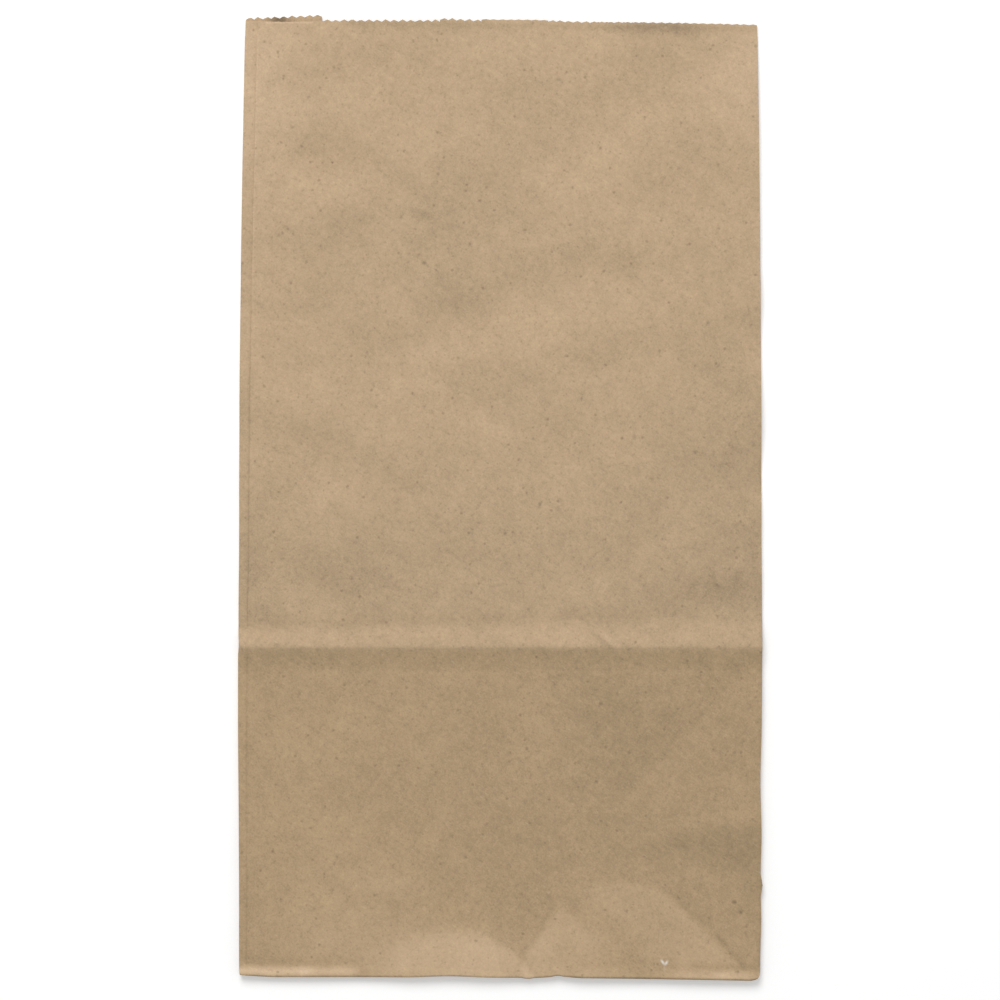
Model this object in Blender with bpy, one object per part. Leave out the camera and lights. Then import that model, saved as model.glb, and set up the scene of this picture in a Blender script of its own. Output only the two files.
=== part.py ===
"""Flat-folded paper lunch bag: one sheet of kraft paper, folded and pasted, lying on its back.

The bag lies as it comes from the pack. X runs across the width, Y runs along the length with the
mouth at +Y, and the plain front wall faces +Z. The folded bottom lies underneath, at the -Y end.

Every panel of the sheet is a plate at its own level of the stack, and every fold is a narrow wall
that joins two levels along a fold line. One union makes them a single sheet, a toothed knife
trims the mouth, and the stack then settles: past the folded bottom the walls sink to the floor.
All plan positions are measured from the middle of the width and from the bottom fold.
"""

import math

import bmesh
import bpy
from mathutils import Vector

# Folded bag
WIDTH = 0.1524
LENGTH = 0.2812
GUSSET = 0.0963  # depth of the opened bag, and length of the folded bottom
FLAP = 0.058  # reach of the bottom flaps over the bottom panel

# Sheet
PAPER = 0.0001
AIR = 0.00005  # space left between two layers
FOLD_ROOM = 0.0003  # how far one fold stays inside the fold that wraps round it
FOLD_BITE = 0.3 * PAPER  # how deep a fold reaches into the panels that it joins
LONG_FOLD_END = 0.3 * PAPER  # how far a fold along the length runs past its ends
CROSS_FOLD_END = 0.4 * PAPER  # and any other fold

# Long seam near the left fold
SEAM_INSET = 0.0031  # from the left fold to the cut edge of the front wall
SEAM_LAP = 0.015  # width of the strip under the front wall
PASTE_MARGIN = 0.002  # from the edge of an overlap to its paste

# Toothed mouth
TOOTH_PITCH = 0.0025
TOOTH_DEPTH = 0.0009
REAR_TAB_END = -0.0517  # the rear wall stands above the front wall from the left fold to here
REAR_TAB_SLOPE = 0.0009  # how much the tab gains from the left fold to its end
REAR_TAB_DROP = 0.0018  # from the tab's end to the rest of the rear wall
FRONT_STEP = -0.0176  # the front wall steps up here
FRONT_STEP_HEIGHT = 0.0009
FRONT_FALL = 0.0021  # how much the front edge drops from that step to the right fold
FRONT_FALL_POWER = 1.5
KNIFE_MARGIN = 0.004  # how far panels and knives run past the cut

# How the stack settles
RIDGE = 0.0013  # spring of the fold where the folded bottom ends
RIDGE_FOOT = 0.0075  # length of the rise to that ridge
RIDGE_POWER = 1.5  # how much the rise steepens towards its crest
SLOPE = 0.0075  # length of the slope from the ridge down to the floor
FLARE = 0.0005  # spring of the bottom fold
FLARE_FOOT = 0.005
NOSE = 0.0005  # how far the bottom fold curves back above and below its middle
NOSE_RUN = 0.003  # length over which that curve dies out
TAPER = 0.0018  # how much narrower each side is at the mouth
TAPER_START = 0.15  # where the taper starts, from the bottom fold
TAPER_POWER = 1.6
SLANT = 0.0011  # how much lower the bottom fold lies at its right end
SLANT_RUN = 0.06  # length over which the slant dies out
CORNER = 0.0008  # how much the bottom corners are rubbed back
CORNER_RUN = 0.006

# Lines cut into the flat stack so that it can bend
COLUMNS = 8
BLOCK_ROWS = 3
WALL_ROWS = 6
FOLD_ROWS = (0.0009, 0.0022, 0.005)  # from the bottom fold
NOSE_ROWS = (-0.93, -0.75, -0.4, 0.0, 0.4, 0.75, 0.93)  # shares of half the stack's height
RISE_ROWS = (1.0, 0.6, 0.3, 0.1)  # shares of the rise, before the ridge
SLOPE_ROWS = (0.15, 0.35, 0.6, 0.8, 1.0)  # shares of the slope, after the ridge

PAPER_COLOUR = (0.462, 0.342, 0.213, 1.0)
PAPER_ROUGHNESS = 0.85

# The panels from the floor up
LEVELS = (
    "outer_flap",
    "outer_tuck",
    "inner_flap",
    "inner_tuck",
    "side_flap",
    "base_gusset",
    "turned_gusset",
    "turned_wall",
    "rear_wall",
    "rear_gusset",
    "front_gusset",
    "seam_strip",
    "front_wall",
)
HALF = WIDTH / 2
MID_GUSSET = GUSSET / 2
CUT_END = LENGTH + KNIFE_MARGIN
STACK = (len(LEVELS) - 1) * (PAPER + AIR) + PAPER


def level(name):
    """Height of a panel's underside in the flat stack."""
    return LEVELS.index(name) * (PAPER + AIR)


def smooth(value):
    """Smooth step from 0 to 1."""
    value = min(max(value, 0.0), 1.0)
    return value * value * (3 - 2 * value)


def clear_scene():
    for item in list(bpy.data.objects):
        bpy.data.objects.remove(item, do_unlink=True)


def new_collection(name):
    collection = bpy.data.collections.new(name)
    bpy.context.scene.collection.children.link(collection)
    return collection


def prism(collection, name, outline, low, high):
    """A closed plate: a plan outline of (x, y) points, from one height to another."""
    shape = bmesh.new()
    base = shape.faces.new([shape.verts.new((x, y, low)) for x, y in outline])
    grown = bmesh.ops.extrude_face_region(shape, geom=[base])
    raised = [item for item in grown["geom"] if isinstance(item, bmesh.types.BMVert)]
    bmesh.ops.translate(shape, verts=raised, vec=(0, 0, high - low))
    bmesh.ops.recalc_face_normals(shape, faces=shape.faces)
    mesh = bpy.data.meshes.new(name)
    shape.to_mesh(mesh)
    shape.free()
    plate = bpy.data.objects.new(name, mesh)
    plate.hide_render = True
    plate.display_type = "WIRE"
    collection.objects.link(plate)
    return plate


def panel(collection, name, outline, tag=""):
    """One panel of the sheet, at its own level."""
    low = level(name)
    return prism(collection, name + tag, outline, low, low + PAPER)


def fold(collection, low_name, high_name, start, end, tag=""):
    """A fold between two levels along a line, as a wall that is as thick as the sheet."""
    start = Vector(start)
    end = Vector(end)
    along = (end - start).normalized()
    past = along * (LONG_FOLD_END if start.x == end.x else CROSS_FOLD_END)
    across = Vector((-along.y, along.x)) * PAPER / 2
    outline = [start - past + across, start - past - across, end + past - across, end + past + across]
    low = level(low_name) + PAPER - FOLD_BITE
    high = level(high_name) + FOLD_BITE
    name = f"fold_{low_name}_{high_name}{tag}"
    return prism(collection, name, outline, low, high)


def box(x_low, x_high, y_low, y_high):
    return [(x_low, y_low), (x_high, y_low), (x_high, y_high), (x_low, y_high)]


def teeth(x_low, x_high, y_of):
    """Points of a toothed cut from one x to another. y_of gives the line of the tips."""
    count = max(1, round((x_high - x_low) / TOOTH_PITCH))
    step = (x_high - x_low) / count
    points = []
    for index in range(count):
        x = x_low + index * step
        points.append((x, y_of(x) - TOOTH_DEPTH))
        points.append((x + step / 2, y_of(x + step / 2)))
    points.append((x_high, y_of(x_high) - TOOTH_DEPTH))
    return points


def rear_edge(x):
    """Where the rear wall is cut."""
    if x <= REAR_TAB_END:
        return LENGTH - REAR_TAB_SLOPE * (REAR_TAB_END - x) / (REAR_TAB_END + HALF)
    return LENGTH - REAR_TAB_DROP - FRONT_FALL * smooth(x / HALF)


def front_edge(x):
    """Where the front wall is cut."""
    top = LENGTH - TOOTH_DEPTH
    if x <= FRONT_STEP:
        return top - FRONT_STEP_HEIGHT
    return top - FRONT_FALL * ((x - FRONT_STEP) / (HALF - FRONT_STEP)) ** FRONT_FALL_POWER


def add_walls(sheet):
    """The front and rear walls, and the strip under the long seam."""
    seam = SEAM_INSET - HALF
    panel(sheet, "front_wall", box(seam, HALF, 0, CUT_END))
    panel(sheet, "seam_strip", box(-HALF, SEAM_LAP - HALF, 0, CUT_END))
    panel(sheet, "rear_wall", box(-HALF, HALF, MID_GUSSET, CUT_END))
    panel(sheet, "turned_wall", box(-HALF, HALF, MID_GUSSET, GUSSET))
    paste = box(
        seam + PASTE_MARGIN,
        SEAM_LAP - HALF - PASTE_MARGIN,
        PASTE_MARGIN,
        LENGTH - 2 * PASTE_MARGIN,
    )
    low = level("seam_strip") + PAPER / 2
    prism(sheet, "seam_paste", paste, low, level("front_wall") + PAPER / 2)
    fold(sheet, "turned_wall", "rear_wall", (-HALF, MID_GUSSET), (HALF, MID_GUSSET))
    fold(sheet, "inner_flap", "turned_wall", (-HALF, GUSSET), (HALF, GUSSET))
    fold(sheet, "outer_flap", "front_wall", (seam, 0), (HALF, 0))
    fold(sheet, "outer_flap", "seam_strip", (-HALF, 0), (seam, 0), "_seam")


def add_gusset(sheet, side):
    """The folded side wall. side is 1 on the right and -1 on the left."""
    tag = "_right" if side > 0 else "_left"
    edge = side * HALF
    inner = side * (HALF - MID_GUSSET)
    turn = MID_GUSSET - FOLD_ROOM
    front = "front_wall" if side > 0 else "seam_strip"
    panel(
        sheet,
        "front_gusset",
        [(edge, 0), (edge, CUT_END), (inner, CUT_END), (inner, turn)],
        tag,
    )
    panel(
        sheet,
        "rear_gusset",
        [(edge, turn), (edge, CUT_END), (inner, CUT_END), (inner, turn)],
        tag,
    )
    panel(sheet, "turned_gusset", [(edge, turn), (edge, GUSSET), (inner, turn)], tag)
    panel(sheet, "base_gusset", [(edge, 0), (edge, GUSSET), (inner, turn)], tag)
    fold(sheet, "front_gusset", front, (edge, 0), (edge, CUT_END), tag)
    fold(sheet, "rear_gusset", "front_gusset", (inner, turn), (inner, CUT_END), tag)
    fold(sheet, "rear_wall", "rear_gusset", (edge, turn), (edge, CUT_END), tag)
    fold(sheet, "turned_gusset", "rear_gusset", (inner, turn), (edge, turn), tag)
    fold(sheet, "turned_gusset", "rear_gusset", (edge, turn), (edge, MID_GUSSET), tag + "_end")
    fold(sheet, "turned_gusset", "turned_wall", (edge, turn), (edge, GUSSET), tag)
    fold(sheet, "base_gusset", "turned_gusset", (inner, turn), (edge, GUSSET), tag)
    fold(sheet, "base_gusset", "front_gusset", (edge, 0), (inner, turn), tag)
    fold(sheet, "side_flap", "base_gusset", (edge, 0), (edge, GUSSET), tag)


def add_side_flap(sheet, side):
    """The end of one side wall, folded in over the bottom, with its two tucked corners."""
    tag = "_right" if side > 0 else "_left"
    edge = side * HALF
    reach = side * (HALF - FLAP)
    low = FOLD_ROOM
    high = GUSSET - FOLD_ROOM
    panel(sheet, "side_flap", box(*sorted((edge, reach)), low, high), tag)
    panel(sheet, "outer_tuck", [(edge, low), (reach, low), (reach, FLAP)], tag)
    panel(sheet, "inner_tuck", [(edge, high), (reach, high), (reach, GUSSET - FLAP)], tag)
    fold(sheet, "outer_tuck", "side_flap", (edge, low), (reach, low), tag)
    fold(sheet, "inner_tuck", "side_flap", (edge, high), (reach, high), tag)
    fold(sheet, "outer_flap", "outer_tuck", (edge, 0), (reach, FLAP), tag)
    fold(sheet, "inner_flap", "inner_tuck", (edge, GUSSET), (reach, GUSSET - FLAP), tag)


def add_bottom_flaps(sheet):
    """The two flaps that close the bottom, pasted where they overlap."""
    tip = HALF - FLAP
    outer_edge = teeth(-tip, tip, lambda x: FLAP)
    inner_edge = teeth(-tip, tip, lambda x: GUSSET - FLAP + TOOTH_DEPTH)
    panel(sheet, "outer_flap", [(HALF, 0), *reversed(outer_edge), (-HALF, 0)])
    panel(sheet, "inner_flap", [(-HALF, GUSSET), *inner_edge, (HALF, GUSSET)])
    paste = box(
        PASTE_MARGIN - tip,
        tip - PASTE_MARGIN,
        GUSSET - FLAP + PASTE_MARGIN,
        FLAP - PASTE_MARGIN,
    )
    low = level("outer_flap") + PAPER / 2
    prism(sheet, "bottom_paste", paste, low, level("inner_flap") + PAPER / 2)


def add_knives(knives):
    """The two toothed cuts of the mouth: one through the rear layers, one through the front."""
    middle = level("front_gusset") - AIR / 2
    cuts = (
        ("rear_knife", rear_edge, level("rear_wall") - KNIFE_MARGIN, middle),
        ("front_knife", front_edge, middle, level("front_wall") + KNIFE_MARGIN),
    )
    made = []
    for name, edge, low, high in cuts:
        line = teeth(-HALF - TOOTH_PITCH, HALF + TOOTH_PITCH, edge)
        far = CUT_END + KNIFE_MARGIN
        outline = line + [(line[-1][0], far), (line[0][0], far)]
        made.append(prism(knives, name, outline, low, high))
    return made


def flat_sheet(sheet, knives):
    """The whole sheet, folded but not settled, as one closed mesh."""
    first = sheet.objects[0]
    others = new_collection("joined_panels")
    for item in list(sheet.objects)[1:]:
        sheet.objects.unlink(item)
        others.objects.link(item)
    union = first.modifiers.new("join_panels", "BOOLEAN")
    union.operation = "UNION"
    union.operand_type = "COLLECTION"
    union.collection = others
    for knife in knives:
        cut = first.modifiers.new(knife.name, "BOOLEAN")
        cut.operation = "DIFFERENCE"
        cut.object = knife
    graph = bpy.context.evaluated_depsgraph_get()
    mesh = bpy.data.meshes.new_from_object(first.evaluated_get(graph))
    for item in [first, *others.objects, *knives]:
        bpy.data.objects.remove(item, do_unlink=True)
    return mesh


def row_lines():
    """Distances from the bottom fold at which the flat stack is cut across."""
    rise = [GUSSET - share * RIDGE_FOOT for share in RISE_ROWS]
    slope = [GUSSET + share * SLOPE for share in SLOPE_ROWS]
    block = rise[0] - FOLD_ROWS[-1]
    wall = LENGTH - KNIFE_MARGIN - slope[-1]
    rows = list(FOLD_ROWS)
    rows += [FOLD_ROWS[-1] + block * k / BLOCK_ROWS for k in range(1, BLOCK_ROWS)]
    rows += rise + [GUSSET] + slope
    rows += [slope[-1] + wall * k / WALL_ROWS for k in range(1, WALL_ROWS + 1)]
    return rows


def cut_across(shape, faces, point, normal):
    """Cuts a line into some faces of a bmesh where a plane crosses them."""
    edges = {edge for face in faces for edge in face.edges}
    corners = {vert for face in faces for vert in face.verts}
    geometry = [*corners, *edges, *faces]
    bmesh.ops.bisect_plane(shape, geom=geometry, plane_co=point, plane_no=normal)


def add_bend_lines(mesh):
    """Cuts rows and columns into the flat stack, leaving the toothed strip whole."""
    shape = bmesh.new()
    shape.from_mesh(mesh)
    rows = row_lines()
    for y in rows:
        cut_across(shape, shape.faces[:], (0, y, 0), (0, 1, 0))
    for index in range(1, COLUMNS):
        inside = [face for face in shape.faces if face.calc_center_median().y < rows[-1]]
        cut_across(shape, inside, (WIDTH * index / COLUMNS - HALF, 0, 0), (1, 0, 0))
    for share in NOSE_ROWS:
        nose = [face for face in shape.faces if face.calc_center_median().y < PAPER]
        cut_across(shape, nose, (0, 0, STACK / 2 * (1 + share)), (0, 0, 1))
    shape.to_mesh(mesh)
    shape.free()


def settled_height(y, z):
    """Height of a point of the flat stack once the folds have sprung and the walls lie down."""
    past = smooth((y - GUSSET) / SLOPE)
    rise = max(0.0, 1 - (GUSSET - y) / RIDGE_FOOT) if y < GUSSET else 1 - past
    low = level("inner_flap") + PAPER
    share = min(max((z - low) / (level("turned_wall") - low), 0.0), 1.0)
    flare = max(0.0, 1 - y / FLARE_FOOT) ** 2
    return z - level("rear_wall") * past + RIDGE * rise**RIDGE_POWER * share + FLARE * flare * z / STACK


def rounded_nose(y, z):
    """Length position of a point of the flat stack once the bottom fold is curved."""
    if y >= NOSE_RUN:
        return y
    middle = STACK / 2
    off_middle = min(abs(z - middle) / middle, 1.0)
    back = NOSE * (1 - math.sqrt(1 - off_middle**2))
    return y + back * (1 - max(y, 0.0) / NOSE_RUN)


def settled_plan(x, y):
    """Plan position of a point of the flat stack, with the bag's slight taper and slant."""
    toward_mouth = max(0.0, (y - TAPER_START) / (LENGTH - TAPER_START))
    toward_fold = 1 - smooth(y / SLANT_RUN)
    toward_corner = max(0.0, 1 - (HALF - abs(x)) / CORNER_RUN) * max(0.0, 1 - y / CORNER_RUN)
    new_x = x * (1 - TAPER / HALF * toward_mouth**TAPER_POWER)
    new_y = y - SLANT * toward_fold * smooth((x + HALF) / WIDTH) + CORNER * toward_corner**2
    return new_x, new_y


def settle(mesh):
    """Moves the flat stack to its resting shape, with its origin at the middle of its base."""
    for vert in mesh.vertices:
        x, y = settled_plan(vert.co.x, rounded_nose(vert.co.y, vert.co.z))
        vert.co = (x, y, settled_height(vert.co.y, vert.co.z))
    lows = [min(vert.co[axis] for vert in mesh.vertices) for axis in range(3)]
    highs = [max(vert.co[axis] for vert in mesh.vertices) for axis in range(3)]
    for vert in mesh.vertices:
        vert.co.x -= (lows[0] + highs[0]) / 2
        vert.co.y -= (lows[1] + highs[1]) / 2
        vert.co.z -= lows[2]


def kraft_paper():
    material = bpy.data.materials.new("kraft_paper")
    material.use_nodes = True
    surface = material.node_tree.nodes["Principled BSDF"]
    surface.inputs["Base Color"].default_value = PAPER_COLOUR
    surface.inputs["Roughness"].default_value = PAPER_ROUGHNESS
    surface.inputs["Metallic"].default_value = 0.0
    material.diffuse_color = PAPER_COLOUR
    return material


def main():
    clear_scene()
    bag = new_collection("paper_lunch_bag")
    sheet = new_collection("panels")
    knives = new_collection("knives")
    add_walls(sheet)
    for side in (1, -1):
        add_gusset(sheet, side)
        add_side_flap(sheet, side)
    add_bottom_flaps(sheet)
    mesh = flat_sheet(sheet, add_knives(knives))
    add_bend_lines(mesh)
    settle(mesh)
    mesh.name = "paper_bag"
    mesh.materials.clear()
    mesh.materials.append(kraft_paper())
    bag.objects.link(bpy.data.objects.new("paper_bag", mesh))


main()
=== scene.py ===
"""Looks of a flat-folded paper lunch bag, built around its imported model.

The bag is one sheet of kraft paper, folded and pasted, lying on its folded bottom. The sheet is
put together flat, panel by panel and fold by fold, each panel at its own level of the stack. The
mouth's teeth come from Geometry Nodes. The stack then settles as the model's own does, with finer
waves, creases and dents, and the surface gets the paper's thickness.

Plan positions of the flat sheet are measured from the middle of the width and from the bottom fold.
"""

import logging
import math
from collections.abc import Callable, Sequence
from dataclasses import dataclass, field
from enum import IntEnum
from typing import ClassVar

import bmesh
import bpy
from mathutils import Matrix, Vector, noise


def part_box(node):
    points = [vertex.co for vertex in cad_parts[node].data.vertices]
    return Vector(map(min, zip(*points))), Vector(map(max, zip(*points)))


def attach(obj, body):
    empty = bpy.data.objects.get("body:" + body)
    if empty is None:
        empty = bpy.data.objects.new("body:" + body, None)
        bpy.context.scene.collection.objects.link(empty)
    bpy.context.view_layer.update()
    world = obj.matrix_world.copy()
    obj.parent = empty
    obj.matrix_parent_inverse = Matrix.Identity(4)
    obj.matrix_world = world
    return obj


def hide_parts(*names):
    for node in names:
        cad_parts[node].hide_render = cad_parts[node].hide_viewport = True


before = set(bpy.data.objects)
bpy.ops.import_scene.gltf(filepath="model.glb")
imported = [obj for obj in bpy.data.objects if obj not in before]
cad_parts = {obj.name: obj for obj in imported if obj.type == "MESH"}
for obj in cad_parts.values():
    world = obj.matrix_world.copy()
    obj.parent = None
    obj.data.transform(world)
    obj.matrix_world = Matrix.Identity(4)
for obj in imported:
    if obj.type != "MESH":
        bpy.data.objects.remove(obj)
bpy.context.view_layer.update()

log = logging.getLogger("paper_lunch_bag")

NODE = "paper_bag"
BODY = "root"
MM = 0.001
DIAGONAL = math.sqrt(0.5)

Point = tuple[float, float, float]
Colour = tuple[float, float, float]
Pair = tuple[float, float]
Span = Callable[[float], Pair]


def smooth(value: float) -> float:
    """Return the smooth step of a value, from 0 to 1."""
    value = min(max(value, 0.0), 1.0)
    return value * value * (3 - 2 * value)


def between(value: float, low: float, high: float) -> float:
    """Return a value held between two bounds."""
    return min(max(value, low), high)


def even_shares(count: int) -> list[float]:
    """Return the shares from 0 to 1 that part a length into a number of equal pieces."""
    return [k / count for k in range(count + 1)]


def new_object(name: str, data: bpy.types.ID) -> bpy.types.Object:
    """Make an object that holds this data, link it to the scene and return it."""
    made = bpy.data.objects.new(name, data)
    bpy.context.scene.collection.objects.link(made)
    return made


def against_line(
    start: Pair, end: Pair, x: "float | Signal", y: "float | Signal"
) -> tuple[float, "float | Signal", "float | Signal"]:
    """Measure a place against a straight line.

    Args:
        start: The line's start.
        end: The line's end.
        x: The place, as numbers or as a material's signals.
        y: The same.

    Returns:
        The line's length, how far along it the place lies, and how far beside it.
    """
    run_x = end[0] - start[0]
    run_y = end[1] - start[1]
    length = math.hypot(run_x, run_y)
    along = ((x - start[0]) * run_x + (y - start[1]) * run_y) / length
    across = ((x - start[0]) * run_y - (y - start[1]) * run_x) / length
    return length, along, across


@dataclass(frozen=True)
class Ripple:
    """Soft waves all over the stack, from smooth noise. In millimetres.

    Each lean turns the waves: it is the length of the other direction that moves them by one wave.
    """

    height: float
    reach_x: float
    reach_y: float
    level: float
    lean_x: float = math.inf
    lean_y: float = math.inf

    def at(self, x: float, y: float) -> float:
        """Return the lift at a place, in millimetres."""
        place = (x / self.reach_x + y / self.lean_x, y / self.reach_y + x / self.lean_y, self.level)
        return self.height * (0.5 + noise.noise(Vector(place)))


@dataclass(frozen=True)
class Mound:
    """A soft round rise of the stack, or a dent where its lift is below 0. In millimetres."""

    x: float
    y: float
    half_width: float
    half_length: float
    lift: float

    def at(self, x: float, y: float) -> float:
        """Return the lift at a place, in millimetres."""
        away = math.hypot((x - self.x) / self.half_width, (y - self.y) / self.half_length)
        return self.lift * (1 - smooth(away))


@dataclass(frozen=True)
class Crease:
    """A soft straight crease across the front wall. In millimetres."""

    start: Pair
    end: Pair
    half_width: float
    lift: float

    def at(self, x: float, y: float) -> float:
        """Return the lift at a place, in millimetres."""
        length, along, across = against_line(self.start, self.end, x, y)
        inside = smooth(along / self.half_width + 0.5) * smooth((length - along) / self.half_width + 0.5)
        return self.lift * inside * (1 - smooth(abs(across) / self.half_width))


@dataclass(frozen=True)
class Nick:
    """A small irregularity of the outline. In millimetres.

    The outline moves by (shift_x, shift_y) round (x, y), fading out over the radius.
    """

    x: float
    y: float
    radius: float
    shift_x: float
    shift_y: float

    def share(self, x: float, y: float) -> float:
        """Return how much of the shift a place gets, from 0 to 1."""
        return 1 - smooth(math.hypot(x - self.x, y - self.y) / self.radius)


class Layer(IntEnum):
    """The panels of the sheet, from the floor up."""

    OUTER_FLAP = 0
    OUTER_TUCK = 1
    INNER_FLAP = 2
    INNER_TUCK = 3
    SIDE_FLAP = 4
    BASE_GUSSET = 5
    TURNED_GUSSET = 6
    TURNED_WALL = 7
    REAR_WALL = 8
    REAR_GUSSET = 9
    FRONT_GUSSET = 10
    SEAM_STRIP = 11
    FRONT_WALL = 12


class Side(IntEnum):
    """The two sides of the bag, as the sign of X."""

    LEFT = -1
    RIGHT = 1


class Signal:
    """A node's output that can be used in Python arithmetic."""

    def __init__(self, board: "NodeBoard", socket: bpy.types.NodeSocket) -> None:
        """Keep the socket and the board that its node stands on."""
        self.board = board
        self.socket = socket

    def math(self, operation: str, *others: "Signal | float") -> "Signal":
        """Add a Math node with this signal as its first input.

        Args:
            operation: The Math node's operation.
            others: Its further inputs.

        Returns:
            The node's output.
        """
        values = dict(enumerate((self, *others)))
        return self.board.node("ShaderNodeMath", {"operation": operation}, values)

    def __add__(self, other: "Signal | float") -> "Signal":
        """Return self + other."""
        return self.math("ADD", other)

    def __radd__(self, other: float) -> "Signal":
        """Return other + self."""
        return self.math("ADD", other)

    def __sub__(self, other: "Signal | float") -> "Signal":
        """Return self - other."""
        return self.math("SUBTRACT", other)

    def __rsub__(self, other: float) -> "Signal":
        """Return other - self."""
        return self.board.node("ShaderNodeMath", {"operation": "SUBTRACT"}, {0: other, 1: self})

    def __mul__(self, other: "Signal | float") -> "Signal":
        """Return self * other."""
        return self.math("MULTIPLY", other)

    def __rmul__(self, other: float) -> "Signal":
        """Return other * self."""
        return self.math("MULTIPLY", other)

    def __truediv__(self, other: "Signal | float") -> "Signal":
        """Return self / other."""
        return self.math("DIVIDE", other)

    def __abs__(self) -> "Signal":
        """Return the absolute value."""
        return self.math("ABSOLUTE")

    def over(self, low: float, high: float) -> "Signal":
        """Return a smooth step of this signal, 0 at low and 1 at high."""
        settings = {"interpolation_type": "SMOOTHSTEP"}
        values = {"Value": self, "From Min": low, "From Max": high, "To Min": 0.0, "To Max": 1.0}
        return self.board.node("ShaderNodeMapRange", settings, values)


class NodeBoard:
    """A node tree that is written in Python expressions."""

    noise_roughness: ClassVar[float] = 0.55

    def __init__(self, tree: bpy.types.NodeTree) -> None:
        """Start with an empty tree."""
        self.tree = tree
        tree.nodes.clear()

    def node(
        self,
        kind: str,
        settings: dict[str, object] | None = None,
        values: dict[str | int, object] | None = None,
        output: str | int = 0,
    ) -> Signal:
        """Add a node.

        Args:
            kind: The node's type.
            settings: Its properties, which are set first.
            values: Its inputs by name or place, each a Signal or a plain value.
            output: The output that is wanted.

        Returns:
            That output.
        """
        made = self.tree.nodes.new(kind)
        for name, setting in (settings or {}).items():
            setattr(made, name, setting)
        for key, value in (values or {}).items():
            if isinstance(value, Signal):
                self.tree.links.new(value.socket, made.inputs[key])
            else:
                made.inputs[key].default_value = value
        socket = made.outputs[output] if len(made.outputs) else None
        return Signal(self, socket)

    def vector(self, operation: str, values: dict[int | str, object], output: str = "Vector") -> Signal:
        """Add a Vector Math node and return one of its outputs."""
        return self.node("ShaderNodeVectorMath", {"operation": operation}, values, output)

    def mix(self, factor: Signal | float, first: object, second: object) -> Signal:
        """Mix two colours.

        Args:
            factor: 0 for the first colour, 1 for the second.
            first: A Signal or a colour of four numbers.
            second: The same.

        Returns:
            The mixed colour.
        """
        settings = {"data_type": "RGBA", "clamp_factor": True}
        return self.node("ShaderNodeMix", settings, {0: factor, 6: first, 7: second}, 2)

    def waves(self, place: Signal, scale: float, detail: float) -> Signal:
        """Return noise around 0, about -0.5 to 0.5.

        Args:
            place: The position that it is read at.
            scale: Waves for each unit of that position.
            detail: Octaves.

        Returns:
            The noise.
        """
        values = {"Vector": place, "Scale": scale, "Detail": detail, "Roughness": self.noise_roughness}
        return self.node("ShaderNodeTexNoise", None, values, "Fac") - 0.5

    def seen(self) -> Signal:
        """Return 1 for the camera's rays and for the mirrored and clear ones that carry its view."""
        mask = self.node("ShaderNodeLightPath", None, None, "Is Camera Ray")
        rays = mask.socket.node
        for name in ("Is Glossy Ray", "Is Transmission Ray"):
            mask = mask.math("MAXIMUM", Signal(self, rays.outputs[name]))
        return mask


@dataclass
class Surface:
    """Points and faces of a surface while it is put together."""

    thinnest: ClassVar[float] = 0.1

    points: list[Point] = field(default_factory=list)
    faces: list[tuple[int, ...]] = field(default_factory=list)

    def grid(self, rows: Sequence[Sequence[Point]]) -> None:
        """Add a net of quads.

        Args:
            rows: Rows of points, all of one length.
        """
        start = len(self.points)
        count = len(rows[0])
        for row in rows:
            self.points.extend(row)
        for r in range(len(rows) - 1):
            for c in range(count - 1):
                corner = start + r * count + c
                self.faces.append((corner, corner + 1, corner + count + 1, corner + count))

    def split_last_row(self, columns: int) -> None:
        """Give the far edge of the last row of quads a middle point each.

        Args:
            columns: How many quads that row has.
        """
        for index in range(len(self.faces) - columns, len(self.faces)):
            near_a, near_b, far_b, far_a = self.faces[index]
            middle = tuple((a + b) / 2 for a, b in zip(self.points[far_a], self.points[far_b]))
            self.faces[index] = (near_a, near_b, far_b, len(self.points), far_a)
            self.points.append(middle)

    def add(self, points: Sequence[Point], faces: Sequence[tuple[int, ...]]) -> None:
        """Add points and faces that were made elsewhere."""
        start = len(self.points)
        self.points.extend(points)
        self.faces.extend(tuple(start + index for index in face) for face in faces)

    def mesh(self, name: str, weld: float) -> bpy.types.Mesh:
        """Return the surface as a mesh with its seams welded.

        Args:
            name: The mesh's name.
            weld: Points nearer than this become one.

        Returns:
            The new mesh.
        """
        mesh = bpy.data.meshes.new(name)
        mesh.from_pydata(self.points, [], self.faces)
        shape = bmesh.new()
        shape.from_mesh(mesh)
        bmesh.ops.remove_doubles(shape, verts=shape.verts, dist=weld)
        bmesh.ops.dissolve_degenerate(shape, edges=shape.edges, dist=weld * self.thinnest)
        bmesh.ops.recalc_face_normals(shape, faces=shape.faces)
        shape.to_mesh(mesh)
        shape.free()
        return mesh


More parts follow.
